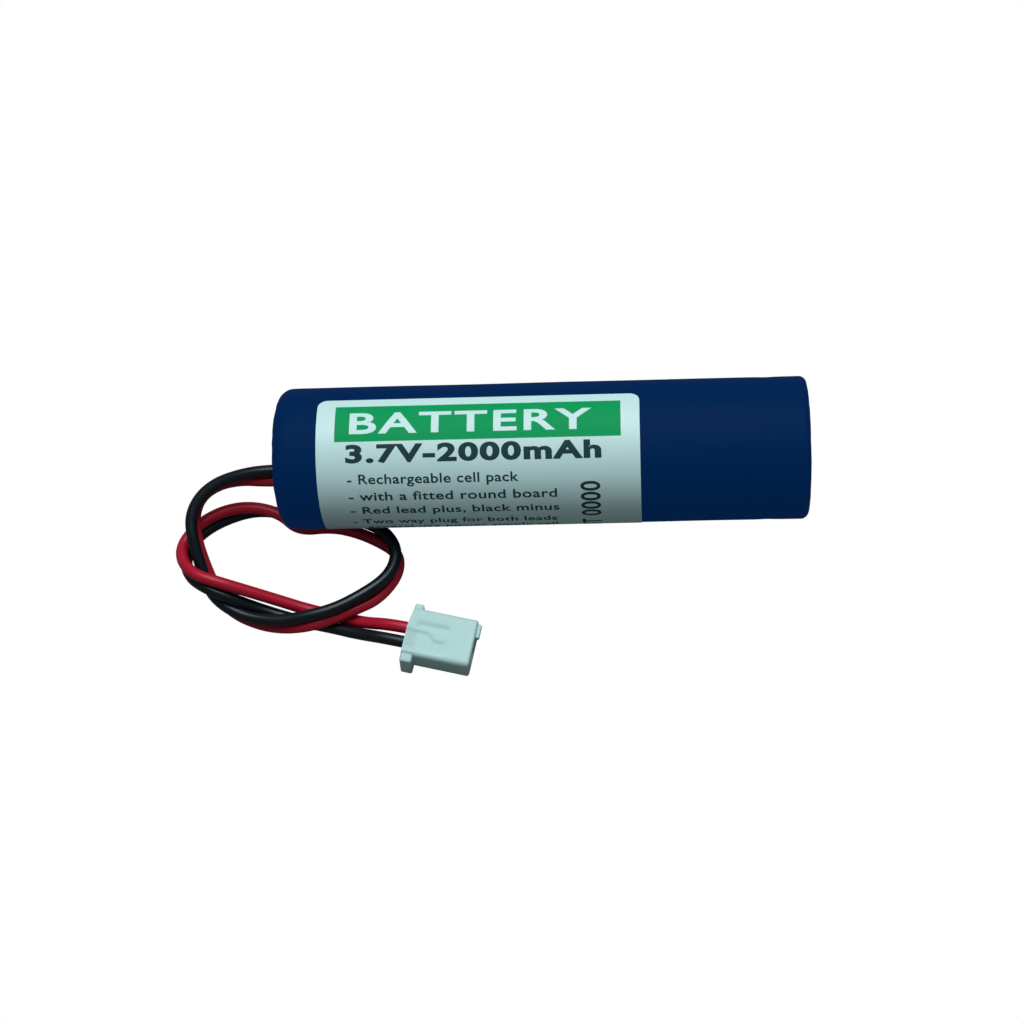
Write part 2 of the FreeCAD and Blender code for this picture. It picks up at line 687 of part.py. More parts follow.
def lead(points, name):
    """One insulated lead as a tube of even section."""
    path = lead_path(points, name)
    direction = Vector(*points[1]) - Vector(*points[0])
    section = Part.Wire([Part.makeCircle(lead_radius, Vector(*points[0]), direction)])
    tube = path.makePipeShell([section], True, False)
    expected = math.pi * lead_radius ** 2 * path.Length
    print(name, "volume", round(tube.Volume, 1), "section times length", round(expected, 1))
    return tube


# ---------------------------------------------------------------- the plug
def plug_box(u, v, w):
    """A box in the plug's frame from three (low, high) pairs."""
    return Part.makeBox(u[1] - u[0], v[1] - v[0], w[1] - w[0], Vector(u[0], v[0], w[0]))


def plug_housing():
    """Nylon housing: body, flange with cut corners, two cavities and two shallow windows."""
    top = body_floor + plug_body_height
    half = plug_body_width / 2
    body = plug_box((0, plug_length), (-half, half), (body_floor, top))
    body = body.makeFillet(plug_edge, [edge for edge in body.Edges if edge.Length > plug_length * 0.99])
    flange_half = plug_flange_width / 2
    flange = plug_box((0, plug_flange_length), (-flange_half, flange_half), (0, plug_flange_height))
    upright = [edge for edge in flange.Edges if abs(edge.Length - plug_flange_length) < plug_edge / 10]
    flange = flange.makeChamfer(plug_flange_corner, upright)
    nose_end = plug_length + nose_lip_length
    lip = plug_box((plug_length, nose_end), (half - nose_lip_width - plug_edge, half - plug_edge),
                   (top - nose_lip_height - plug_edge, top - plug_edge))
    housing = body.fuse([flange, lip])
    window_start = plug_flange_length + plug_edge
    for side in (-1, 1):
        middle = side * contact_pitch / 2
        cavity_half = cavity_width / 2
        housing = housing.cut(plug_box((0, nose_end), (middle - cavity_half, middle + cavity_half),
                                       (cavity_level - cavity_half, cavity_level + cavity_half)))
        housing = housing.cut(plug_box((window_start, window_start + window_length),
                                       (middle - window_width / 2, middle + window_width / 2),
                                       (top - window_depth, top)))
    return housing.removeSplitter()


def contact(side):
    """Crimped terminal: a barrel on the lead's end and a square socket that rests in the cavity."""
    middle = side * contact_pitch / 2
    half = contact_width / 2
    floor = cavity_level - cavity_width / 2
    socket_start = contact_start + crimp_length
    end = contact_start + contact_length
    barrel = Part.makeCylinder(lead_radius, crimp_length, Vector(contact_start, middle, cavity_level),
                               Vector(1, 0, 0))
    socket = plug_box((socket_start, end), (middle - half, middle + half), (floor, floor + contact_width))
    inner_half = half - contact_wall
    hollow = plug_box((socket_start + contact_wall, end), (middle - inner_half, middle + inner_half),
                      (floor + contact_wall, floor + contact_width - contact_wall))
    return barrel.fuse(socket).cut(hollow).removeSplitter()


def placed(shape, placement):
    """A copy of a shape of the plug, moved to where the plug lies."""
    moved = shape.copy()
    moved.Placement = placement
    return moved


def plug_placement(housing):
    """Where the plug lies: turned by its three angles and lifted until it just touches z = 0."""
    turn = Rotation(plug_yaw, plug_pitch, plug_roll)
    lowest = min(turn.multVec(vertex.Point).z for vertex in housing.Vertexes)
    return Placement(plug_place + Vector(route_shift, 0, -lowest), turn)


def lead_points(points, side, placement):
    """The route with its last two points, in line with the lead's cavity."""
    middle = side * contact_pitch / 2
    places = (contact_start - lead_run_in, contact_start)
    ends = [placement.multVec(Vector(place, middle, cavity_level)) for place in places]
    print("plug end of a lead", [(round(end.x, 2), round(end.y, 2), round(end.z, 2)) for end in ends])
    return points + [(end.x, end.y, end.z) for end in ends]


# ---------------------------------------------------------------- the assembly
housing = plug_housing()
plug_at = plug_placement(housing)
print("plug lift", round(plug_at.Base.z, 3))

parts = {
    "cell_can": cell_can(),
    "bottom_insulator": ring(can_bottom_x + can_bottom_wall, can_bottom_x + can_bottom_wall + roll_insulator,
                             can_inner_radius - can_corner, roll_insulator_hole),
    "top_insulator": top_insulator(),
    "anode_tab": anode_tab(),
    "cathode_tab": cathode_tab(),
    "roll_tape": ring(-roll_tape_length / 2, roll_tape_length / 2,
                      roll_outer_radius + sheet_gap + roll_tape_thickness, roll_outer_radius + sheet_gap),
    "cid_plate": cid_plate(),
    "cid_insulator": ring(cid_insulator_start_x, vent_start_x, stack_radius, cid_insulator_inner_radius),
    "vent_disc": vent_disc(),
    "ptc_ring": ring(ptc_start_x, cap_start_x, stack_radius, ptc_inner_radius),
    "top_cap": top_cap(),
    "crimp_gasket": crimp_gasket(),
    "cell_sleeve": cell_sleeve(),
    "positive_washer": positive_washer(),
    "positive_strip": positive_strip(),
    "strip_insulator": strip_insulator(),
    "negative_strip": negative_strip(),
    "board_insulator": board_insulator(),
    "protection_board": protection_board(),
    "solder_pads": solder_pads(),
    "solder_joints": solder_joints(),
    "mosfet_pair": pinned_chip(mosfet_place, mosfet_size, mosfet_pins_per_side, mosfet_pin_pitch),
    "protection_ic": pinned_chip(ic_place, ic_size, ic_pins_per_side, ic_pin_pitch),
    "chip_resistors": Part.makeCompound([chip_body(place, resistor_size) for place in resistor_places]),
    "chip_capacitor": chip_body(capacitor_place, capacitor_size),
    "red_conductor": conductor(red_lead_points[0]),
    "black_conductor": conductor(black_lead_points[0]),
    "board_cover_disc": board_cover_disc(),
    "plain_end_disc": plain_end_disc(),
    "outer_sleeve": outer_sleeve(),
    "label": label(),
    "red_lead": lead(lead_points(red_lead_points, 1, plug_at), "red lead"),
    "black_lead": lead(lead_points(black_lead_points, -1, plug_at), "black lead"),
    "plug_housing": placed(housing, plug_at),
    "red_contact": placed(contact(1), plug_at),
    "black_contact": placed(contact(-1), plug_at)}
parts.update(jelly_roll())

os.makedirs("parts", exist_ok=True)
for name, shape in parts.items():
    shape.exportStep("parts/" + name + ".step")
    print(name, "solids", len(shape.Solids), "valid", shape.isValid(), "volume", round(shape.Volume, 2))
print("overall length", overall_length, "nodes", len(parts))
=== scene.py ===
import bpy
import bmesh
import json
import math
import random
from mathutils import Matrix, Vector


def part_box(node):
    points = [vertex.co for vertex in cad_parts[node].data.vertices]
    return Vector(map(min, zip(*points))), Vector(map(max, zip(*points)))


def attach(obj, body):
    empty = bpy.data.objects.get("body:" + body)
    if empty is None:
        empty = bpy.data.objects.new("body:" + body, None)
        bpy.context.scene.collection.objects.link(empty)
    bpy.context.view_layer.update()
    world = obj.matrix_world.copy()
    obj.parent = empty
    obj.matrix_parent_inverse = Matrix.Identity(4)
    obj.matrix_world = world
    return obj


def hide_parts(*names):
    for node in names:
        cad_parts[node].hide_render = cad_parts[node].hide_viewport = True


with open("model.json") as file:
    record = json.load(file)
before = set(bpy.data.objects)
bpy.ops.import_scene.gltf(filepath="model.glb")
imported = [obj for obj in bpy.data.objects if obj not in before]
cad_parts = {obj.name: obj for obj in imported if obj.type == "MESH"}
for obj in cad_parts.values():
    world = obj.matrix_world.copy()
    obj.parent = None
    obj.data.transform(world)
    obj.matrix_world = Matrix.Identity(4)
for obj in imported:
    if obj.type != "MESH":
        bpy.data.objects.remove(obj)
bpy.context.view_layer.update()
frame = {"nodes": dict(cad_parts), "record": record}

mm = 0.001
samePoint = 1e-7  # closer than this, two points are one
nodes = frame["nodes"]
print("frame loaded,", len(nodes), "nodes")

discLow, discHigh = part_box("board_cover_disc")
axisZ = (discLow.z + discHigh.z) / 2  # height of the cell's axis
sleeveLow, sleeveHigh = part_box("outer_sleeve")
sleeveRadius = axisZ - sleeveLow.z
labelLow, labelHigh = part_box("label")


# ---- small helpers for meshes
def finishedMesh(piece, bm, material, sharpAngle=35.0):
    for face in bm.faces:
        face.smooth = True
    for edge in bm.edges:
        if len(edge.link_faces) == 2 and edge.calc_face_angle(0.0) > math.radians(sharpAngle):
            edge.smooth = False
    mesh = bpy.data.meshes.new(piece)
    bm.to_mesh(mesh)
    bm.free()
    built = bpy.data.objects.new(piece, mesh)
    bpy.context.scene.collection.objects.link(built)
    built.data.materials.append(material)
    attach(built, "root")
    return built


def cutAt(bm, axis, level, near):
    normal = Vector((0, 0, 0))
    normal[axis] = 1.0
    everything = bm.verts[:] + bm.edges[:] + bm.faces[:]
    bmesh.ops.bisect_plane(bm, geom=everything, plane_co=normal * level, plane_no=normal, dist=near)


def sliceMesh(bm, axis, low, high, step):
    count = max(1, round((high - low) / step))
    for number in range(1, count):
        cutAt(bm, axis, low + (high - low) * number / count, samePoint)


def smoothStep(low, high, value):  # 0 at low, 1 at high
    share = min(1.0, max(0.0, (value - low) / (high - low)))
    return share * share * (3 - 2 * share)


def window(low, high, soft, value):
    return smoothStep(low - soft, low + soft, value) * (1 - smoothStep(high - soft, high + soft, value))


# ---- shared effects for the finishes
def newGroup(label, inputs, outputs):
    group = bpy.data.node_groups.new(label, "ShaderNodeTree")
    for name, value in inputs.items():
        socket = group.interface.new_socket(name, in_out="INPUT", socket_type="NodeSocketFloat")
        socket.default_value = value
    for name in outputs:
        group.interface.new_socket(name, in_out="OUTPUT", socket_type="NodeSocketFloat")
    return group, group.nodes.new("NodeGroupInput"), group.nodes.new("NodeGroupOutput")


def makeGrainGroup():
    group, start, end = newGroup("fineGrain", {"Scale": 900.0, "Detail": 3.0}, ["Height", "Patches"])
    place = group.nodes.new("ShaderNodeTexCoord")
    fine = group.nodes.new("ShaderNodeTexNoise")
    broad = group.nodes.new("ShaderNodeTexNoise")
    ratio = group.nodes.new("ShaderNodeMath")
    ratio.operation = "MULTIPLY"
    ratio.inputs[1].default_value = 0.08
    broad.inputs["Detail"].default_value = 2.0
    link = group.links.new
    link(place.outputs["Object"], fine.inputs["Vector"])
    link(place.outputs["Object"], broad.inputs["Vector"])
    link(start.outputs["Scale"], fine.inputs["Scale"])
    link(start.outputs["Detail"], fine.inputs["Detail"])
    link(start.outputs["Scale"], ratio.inputs[0])
    link(ratio.outputs[0], broad.inputs["Scale"])
    link(fine.outputs["Fac"], end.inputs["Height"])
    link(broad.outputs["Fac"], end.inputs["Patches"])
    return group


def makeScratchGroup():
    group, start, end = newGroup("fineScratches", {"Scale": 400.0, "Stretch": 12.0}, ["Lines"])
    place = group.nodes.new("ShaderNodeTexCoord")
    squeeze = group.nodes.new("ShaderNodeMapping")
    combine = group.nodes.new("ShaderNodeCombineXYZ")
    combine.inputs["X"].default_value = 1.0
    noise = group.nodes.new("ShaderNodeTexNoise")
    noise.inputs["Detail"].default_value = 4.0
    link = group.links.new
    link(place.outputs["Object"], squeeze.inputs["Vector"])
    link(start.outputs["Stretch"], combine.inputs["Y"])
    link(start.outputs["Stretch"], combine.inputs["Z"])
    link(combine.outputs[0], squeeze.inputs["Scale"])
    link(squeeze.outputs[0], noise.inputs["Vector"])
    link(start.outputs["Scale"], noise.inputs["Scale"])
    link(noise.outputs["Fac"], end.inputs["Lines"])
    return group


patchRange = (0.3, 0.7)  # where most of the noise lies
grainGroup = makeGrainGroup()
scratchGroup = makeScratchGroup()


def newMaterial(label, **sockets):
    material = bpy.data.materials.new(label)
    material.use_nodes = True
    shader = material.node_tree.nodes["Principled BSDF"]
    for name, value in sockets.items():
        shader.inputs[name.replace("_", " ")].default_value = value
    return material, material.node_tree, shader


def addGrain(tree, shader, look):
    grain = tree.nodes.new("ShaderNodeGroup")
    grain.node_tree = grainGroup
    grain.inputs["Scale"].default_value = look["grainScale"]
    grain.inputs["Detail"].default_value = look.get("grainDetail", 3.0)
    tone = tree.nodes.new("ShaderNodeMix")
    tone.data_type = "RGBA"
    tone.inputs["A"].default_value = (*look["colour"], 1.0)
    tone.inputs["B"].default_value = (*look["patchColour"], 1.0)
    rough = tree.nodes.new("ShaderNodeMapRange")
    rough.inputs["From Min"].default_value = patchRange[0]
    rough.inputs["From Max"].default_value = patchRange[1]
    rough.inputs["To Min"].default_value = look["roughness"][0]
    rough.inputs["To Max"].default_value = look["roughness"][1]
    bump = tree.nodes.new("ShaderNodeBump")
    bump.inputs["Strength"].default_value = look["bump"]
    bump.inputs["Distance"].default_value = look.get("bumpDepth", 0.05 * mm)
    link = tree.links.new
    link(grain.outputs["Patches"], tone.inputs["Factor"])
    link(tone.outputs["Result"], shader.inputs["Base Color"])
    link(grain.outputs["Patches"], rough.inputs["Value"])
    link(rough.outputs["Result"], shader.inputs["Roughness"])
    link(grain.outputs["Height"], bump.inputs["Height"])
    link(bump.outputs["Normal"], shader.inputs["Normal"])
    return bump


def grainFinish(label, look):
    material, tree, shader = newMaterial(label, **look.get("sockets", {}))
    addGrain(tree, shader, look)
    return material


def metalFinish(label, look):
    material, tree, shader = newMaterial(label, Metallic=1.0)
    bump = addGrain(tree, shader, look)
    lines = tree.nodes.new("ShaderNodeGroup")
    lines.node_tree = scratchGroup
    lines.inputs["Scale"].default_value = look["lineScale"]
    lines.inputs["Stretch"].default_value = look["lineStretch"]
    tree.links.new(lines.outputs["Lines"], bump.inputs["Height"])
    return material


# the film's emission colour is a painted glow: it lifts the navy evenly everywhere, standing in for light
# and flattening its shade
shrinkFilm = grainFinish("shrinkFilm", {
    "colour": (0.0, 0.0082, 0.040), "patchColour": (0.0, 0.0100, 0.047), "roughness": (0.52, 0.64),
    "grainScale": 1400.0, "bump": 0.10, "bumpDepth": 0.02 * mm,
    "sockets": {"Specular_IOR_Level": 0.03, "Emission_Color": (0.0, 0.0105, 0.047, 1.0),
                "Emission_Strength": 1.0}})
labelPaper = grainFinish("labelPaper", {
    "colour": (0.60, 0.88, 0.885), "patchColour": (0.62, 0.90, 0.90), "roughness": (0.38, 0.48),
    "grainScale": 2600.0, "bump": 0.08, "bumpDepth": 0.02 * mm,
    "sockets": {"Specular_IOR_Level": 0.35}})
bandInk = grainFinish("bandInk", {
    "colour": (0.0015, 0.345, 0.106), "patchColour": (0.002, 0.370, 0.118), "roughness": (0.5, 0.6),
    "grainScale": 2600.0, "bump": 0.06, "bumpDepth": 0.02 * mm,
    "sockets": {"Specular_IOR_Level": 0.08}})
darkInk = grainFinish("darkInk", {
    "colour": (0.015, 0.052, 0.060), "patchColour": (0.020, 0.062, 0.072), "roughness": (0.5, 0.6),
    "grainScale": 2600.0, "bump": 0.06, "bumpDepth": 0.02 * mm,
    "sockets": {"Specular_IOR_Level": 0.08}})
redInsulation = grainFinish("redInsulation", {
    "colour": (0.42, 0.0065, 0.027), "patchColour": (0.47, 0.0095, 0.034), "roughness": (0.30, 0.40),
    "grainScale": 1500.0, "bump": 0.15, "bumpDepth": 0.02 * mm,
    "sockets": {"Specular_IOR_Level": 0.32}})
blackInsulation = grainFinish("blackInsulation", {
    "colour": (0.0028, 0.0048, 0.0080), "patchColour": (0.0045, 0.0075, 0.0115), "roughness": (0.30, 0.40),
    "grainScale": 1500.0, "bump": 0.15, "bumpDepth": 0.02 * mm,
    "sockets": {"Specular_IOR_Level": 0.45, "Specular_Tint": (0.80, 0.95, 1.0, 1.0)}})
whiteNylon = grainFinish("whiteNylon", {
    "colour": (0.50, 0.775, 0.775), "patchColour": (0.53, 0.80, 0.80), "roughness": (0.45, 0.58),
    "grainScale": 900.0, "bump": 0.1, "bumpDepth": 0.03 * mm,
    "sockets": {"Specular_IOR_Level": 0.3, "Subsurface_Weight": 0.2,
                "Subsurface_Radius": (0.6 * mm, 0.6 * mm, 0.6 * mm), "Subsurface_Scale": 1.0}})
print("finishes for the outside made")


# ---- the two leads, as free cords
leads = {
    "diameter": 1.6 * mm,
    "exitX": discLow.x,
    "red": {
        "length": 129.9 * mm,
        "points": [
            (-33.9, -2.3, 7.4), (-37.0, -2.3, 7.4), (-40.4, -1.8, 6.8), (-43.7, -2.1, 5.9),
            (-46.1, -3.6, 5.3), (-47.0, -6.1, 4.7), (-46.7, -9.0, 3.8), (-45.8, -11.9, 2.2),
            (-44.7, -14.5, 0.8), (-43.6, -16.8, 0.8), (-41.2, -18.9, 0.8), (-37.9, -20.3, 0.8),
            (-34.7, -21.0, 1.5), (-31.4, -21.1, 2.6), (-28.3, -20.2, 2.6), (-25.2, -18.9, 2.6),
            (-22.5, -17.4, 1.8), (-20.5, -14.9, 1.1), (-19.6, -12.6, 0.8), (-20.0, -10.5, 0.8),
            (-22.4, -8.9, 0.8), (-25.5, -7.6, 1.2), (-28.8, -7.0, 1.8), (-33.3, -7.4, 1.8),
            (-35.6, -5.2, 2.3), (-39.2, -4.2, 2.6), (-42.7, -4.4, 2.5), (-45.9, -5.8, 2.4),
            (-48.0, -7.9, 2.4), (-48.9, -10.0, 2.8), (-48.2, -12.5, 4.5), (-46.3, -14.7, 5.9),
            (-43.1, -15.8, 5.9), (-39.4, -16.6, 4.3), (-35.6, -17.4, 2.5), (-31.9, -18.3, 1.1),
            (-28.1, -19.2, 0.8), (-24.2, -20.3, 1.0), (-20.29, -21.23, 3.31), (-16.39, -22.06, 3.04)]},
    "black": {
        "length": 128.9 * mm,
        "points": [
            (-33.9, -1.4, 8.9), (-37.0, -1.4, 8.9), (-40.4, -1.8, 8.5), (-43.6, -2.6, 7.7),
            (-45.9, -4.3, 7.0), (-47.1, -6.8, 6.3), (-46.8, -9.6, 5.4), (-46.1, -12.2, 3.9),
            (-45.3, -14.7, 2.5), (-44.1, -16.9, 2.4), (-41.5, -18.9, 2.6), (-38.4, -20.0, 2.7),
            (-34.9, -20.5, 3.2), (-31.1, -20.1, 4.0), (-27.6, -19.2, 4.1), (-24.4, -17.5, 4.0),
            (-21.6, -15.4, 3.4), (-20.1, -13.2, 2.9), (-19.8, -10.7, 2.7), (-21.3, -8.1, 2.3),
            (-24.6, -6.0, 1.0), (-28.4, -5.6, 0.8), (-32.9, -5.9, 0.8), (-36.1, -4.4, 0.8),
            (-39.6, -4.1, 0.8), (-43.1, -5.1, 0.8), (-46.1, -6.7, 0.8), (-48.2, -8.9, 0.8),
            (-48.6, -11.3, 1.2), (-47.4, -14.2, 3.5), (-45.1, -16.1, 4.6), (-42.1, -17.3, 4.1),
            (-39.0, -18.1, 2.1), (-35.6, -19.0, 0.9), (-32.2, -20.0, 0.8), (-28.5, -20.8, 0.8),
            (-25.0, -21.9, 1.5), (-20.70, -23.19, 3.42), (-16.80, -24.02, 3.14)]}}


def makeLead(label, route, material):
    line = bpy.data.curves.new(label, "CURVE")
    line.dimensions = "3D"
    spline = line.splines.new("NURBS")
    spline.points.add(len(route["points"]) - 1)
    for point, place in zip(spline.points, route["points"]):
        point.co = (place[0] * mm, place[1] * mm, place[2] * mm, 1.0)
    spline.order_u = 3
    spline.use_endpoint_u = True
    spline.resolution_u = 14
    line.bevel_depth = leads["diameter"] / 2
    line.bevel_resolution = 8
    line.use_fill_caps = True
    built = bpy.data.objects.new(label, line)
    bpy.context.scene.collection.objects.link(built)
    line.materials.append(material)
    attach(built, "root")
    return built


redLead = makeLead("redLead", leads["red"], redInsulation)
blackLead = makeLead("blackLead", leads["black"], blackInsulation)
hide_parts("red_lead")
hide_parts("black_lead")
print("leads laid")


# ---- the heat-shrink sleeve
sleeve = {
    "wall": 0.15 * mm,
    "boardCorner": 1.8 * mm,
    "boardCornerRings": 12,
    "plainCorner": 0.9 * mm,
    "plainCornerRings": 10,
    "lipRings": 7,
    "openingRadius": 6.0 * mm,
    "openingRagged": 0.16 * mm,
    "steps": 216,
    "ringStep": 0.8 * mm,
    "ribAngle": -45.0,
    "ribHalf": 3.1 * mm,
    "ribRise": 0.17 * mm,
    "ribSoft": 0.35 * mm,
    "ribStart": -31.6 * mm,
    "ribEnd": 34.0 * mm,
    "beadPlace": 29.2 * mm,
    "beadDip": 0.05 * mm,
    "ripple": 0.018 * mm,
    "pleat": 0.07 * mm,
    "shoulderAngle": 62.0,  # degrees from +Y upward, where the board end's shoulder is rounder
    "shoulderSpread": 34.0,
    "shoulderDrop": 0.2 * mm}


def sleeveProfile():
    corner, far = sleeve["boardCorner"], sleeve["plainCorner"]
    opening, rings = sleeve["openingRadius"], sleeve["lipRings"]
    boardRings, plainRings = sleeve["boardCornerRings"], sleeve["plainCornerRings"]
    low, high = sleeveLow.x, sleeveHigh.x
    places = []
    for number in range(rings):
        places.append((low, opening + (sleeveRadius - corner - opening) * number / rings))
    for number in range(boardRings + 1):
        turn = math.pi / 2 * number / boardRings
        places.append((low + corner * (1 - math.cos(turn)), sleeveRadius - corner * (1 - math.sin(turn))))
    count = round((high - far - low - corner) / sleeve["ringStep"])
    for number in range(1, count):
        places.append((low + corner + (high - far - low - corner) * number / count, sleeveRadius))
    for number in range(plainRings + 1):
        turn = math.pi / 2 * number / plainRings
        places.append((high - far * (1 - math.sin(turn)), sleeveRadius - far * (1 - math.cos(turn))))
    for number in range(1, rings + 1):
        places.append((high, sleeveRadius - far - (sleeveRadius - far - opening) * number / rings))
    return places


def pleats(turn, seed):
    random.seed(seed)
    total = 0.0
    for count in (7, 11, 17, 23, 31):
        total += math.sin(count * turn + random.uniform(0, 2 * math.pi)) / math.sqrt(count)
    return total


def makeSleeve():
    bm = bmesh.new()
    before = None
    for x, radius in sleeveProfile():
        vert = bm.verts.new((x, 0, radius))
        if before:
            bm.edges.new((before, vert))
        before = vert
    bmesh.ops.spin(bm, geom=bm.verts[:] + bm.edges[:], cent=(0, 0, 0), axis=(1, 0, 0), angle=2 * math.pi,
                   steps=sleeve["steps"], use_merge=True)
    bmesh.ops.remove_doubles(bm, verts=bm.verts[:], dist=samePoint)
    bmesh.ops.recalc_face_normals(bm, faces=bm.faces[:])
    outward = max(bm.faces, key=lambda face: math.hypot(*face.calc_center_median().yz))
    if outward.normal.yz.dot(outward.calc_center_median().yz) < 0:
        bmesh.ops.reverse_faces(bm, faces=bm.faces[:])
    ribTurn = math.radians(sleeve["ribAngle"])
    for vert in bm.verts:
        x, radius = vert.co.x, math.hypot(vert.co.y, vert.co.z)
        turn = math.atan2(vert.co.z, vert.co.y)
        away = (turn - ribTurn + math.pi) % (2 * math.pi) - math.pi
        onBarrel = window(sleeveLow.x + 1.6 * mm, sleeveHigh.x - 0.9 * mm, 0.5 * mm, x)
        rise = sleeve["ribRise"] * window(-sleeve["ribHalf"], sleeve["ribHalf"], sleeve["ribSoft"],
                                          away * sleeveRadius)
        rise *= window(sleeve["ribStart"], sleeve["ribEnd"], 0.6 * mm, x) * smoothStep(
            7.5 * mm, 8.6 * mm, radius)
        rise -= sleeve["beadDip"] * math.exp(-((x - sleeve["beadPlace"]) / (0.9 * mm)) ** 2)
        rise += sleeve["ripple"] * onBarrel * (
            math.sin(310 * x + 3 * turn) * 0.5 + math.sin(190 * x - 2 * turn + 1.0) * 0.5)
        atBoard = 1 - smoothStep(sleeveLow.x + 0.5 * mm, sleeveLow.x + 4.5 * mm, x)
        atPlain = smoothStep(sleeveHigh.x - 3.0 * mm, sleeveHigh.x - 0.3 * mm, x)
        fold = sleeve["pleat"] * (atBoard * pleats(turn, 3) + 0.6 * atPlain * pleats(turn, 8))
        inward = 1 - smoothStep(6.0 * mm, 8.6 * mm, radius)
        offShoulder = (math.degrees(turn) - sleeve["shoulderAngle"]) / sleeve["shoulderSpread"]
        drop = sleeve["shoulderDrop"] * math.exp(-offShoulder ** 2)
        drop *= smoothStep(7.0 * mm, 9.0 * mm, radius)
        rise -= drop * smoothStep(sleeveLow.x + 3.0 * mm, sleeveLow.x + 0.3 * mm, x)
        across = Vector((0, vert.co.y, vert.co.z)).normalized()
        slide = across * (rise + fold * 0.5 * smoothStep(7.4 * mm, 9.0 * mm, radius))
        slide += across * inward * sleeve["openingRagged"] * pleats(turn, 5 if x < 0 else 6)
        slide.x += fold * (1.0 if x < 0 else -1.0) * 0.6 * (1 - onBarrel)
        vert.co += slide
    for vert in bm.verts:
        vert.co.z += axisZ
    built = finishedMesh("sleeveFilm", bm, shrinkFilm, 60.0)
    wall = built.modifiers.new("wall", "SOLIDIFY")
    wall.thickness = sleeve["wall"]
    wall.offset = -1.0
    return built


sleeveFilm = makeSleeve()
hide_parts("outer_sleeve")
print("sleeve shrunk on")


# ---- the label and its print
label = {
    "lowAngle": -29.0,     # degrees, from -Y upward
    "highAngle": 121.0,
    "thickness": 0.08 * mm,
    "corner": 1.3 * mm,
    "inkRise": 0.012 * mm,
    "stepAlong": 1.2 * mm,
    "stepRound": 0.5 * mm,
    "letterStep": 0.35 * mm}
labelRadius = sleeveRadius + label["thickness"]


def wrapOn(bm, radius, middleAngle):
    for vert in bm.verts:
        turn = math.radians(middleAngle) + vert.co.y / radius
        reach = radius + vert.co.z
        vert.co = Vector((vert.co.x, -reach * math.cos(turn), axisZ + reach * math.sin(turn)))


def makeSheet(name, low, high, lowAngle, highAngle, radius, corner, thickness, material):
    bm = bmesh.new()
    middle = (lowAngle + highAngle) / 2
    height = math.radians(highAngle - lowAngle) * radius
    bmesh.ops.create_grid(bm, x_segments=1, y_segments=1, size=0.5)
    bmesh.ops.scale(bm, vec=(high - low, height, 1), verts=bm.verts[:])
    bmesh.ops.translate(bm, vec=((low + high) / 2, 0, 0), verts=bm.verts[:])
    if corner:
        bmesh.ops.bevel(bm, geom=bm.verts[:], offset=corner, affect="VERTICES", segments=8,
                        profile=0.5, material=-1)
    sliceMesh(bm, 1, -height / 2, height / 2, label["stepRound"])
    sliceMesh(bm, 0, low, high, label["stepAlong"])
    bmesh.ops.solidify(bm, geom=bm.faces[:], thickness=thickness)
    bmesh.ops.recalc_face_normals(bm, faces=bm.faces[:])
    top = max(vert.co.z for vert in bm.verts)
    for vert in bm.verts:
        vert.co.z -= top - thickness
    wrapOn(bm, radius, middle)
    bmesh.ops.recalc_face_normals(bm, faces=bm.faces[:])
    return finishedMesh(name, bm, material, 45.0)


labelSheet = makeSheet("labelSheet", labelLow.x, labelHigh.x, label["lowAngle"], label["highAngle"],
                       sleeveRadius, label["corner"], label["thickness"], labelPaper)
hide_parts("label")

band = {"low": -26.1 * mm, "high": 10.5 * mm, "lowAngle": 81.2, "highAngle": 112.8}
bandPrint = makeSheet("bandPrint", band["low"], band["high"], band["lowAngle"], band["highAngle"],
                      labelRadius, 0.0, label["inkRise"], bandInk)

# low and high in mm along the pack, angle in degrees from -Y upward; level 1 lies on the band
lettering = [
    {"name": "bandWord", "text": "BATTERY", "low": -24.2, "high": 6.8, "angle": 97.2, "height": 3.05,
     "bold": 0.022, "spacing": 1.14, "level": 1, "ink": labelPaper},
    {"name": "ratingLine", "text": "3.7V-2000mAh", "low": -24.7, "high": 8.0, "angle": 72.0, "height": 2.25,
     "bold": 0.042, "spacing": 1.12, "level": 0, "ink": darkInk},
    {"name": "noteLine1", "text": "- Rechargeable cell pack", "low": -24.6, "high": -2.6, "angle": 51.5},
    {"name": "noteLine2", "text": "- with a fitted round board", "low": -24.6, "high": 2.2, "angle": 36.5},
    {"name": "noteLine3", "text": "- Red lead plus, black minus", "low": -24.6, "high": 2.4, "angle": 22.0},
    {"name": "noteLine4", "text": "- Two way plug for both leads", "low": -24.6, "high": 2.0, "angle": 6.0},
    {"name": "noteLine5", "text": "general use power supply cell", "low": -23.0, "high": 2.0, "angle": -8.0},
    {"name": "lotMark", "text": "LOT 0000", "low": -6.6, "high": 6.2, "angle": 8.0, "height": 2.55,
     "bold": 0.016, "turnedAt": 6.4}]
noteStyle = {"height": 1.35, "bold": 0.014, "spacing": 1.05, "level": 0, "ink": darkInk, "turnedAt": None}
capitalHeight = 0.73  # of the built-in font, for a size of one


def letterMesh(text, bold, spacing):
    font = bpy.data.curves.new("letters", "FONT")
    font.body = text
    font.size = 1.0
    font.offset = bold
    font.space_character = spacing
    font.resolution_u = 5
    holder = bpy.data.objects.new("letters", font)
    bpy.context.scene.collection.objects.link(holder)
    bpy.context.view_layer.update()
    mesh = bpy.data.meshes.new_from_object(holder.evaluated_get(bpy.context.evaluated_depsgraph_get()))
    bpy.data.objects.remove(holder)
    bpy.data.curves.remove(font)
    bm = bmesh.new()
    bm.from_mesh(mesh)
    bpy.data.meshes.remove(mesh)
    bmesh.ops.remove_doubles(bm, verts=bm.verts[:], dist=1e-5)
    return bm


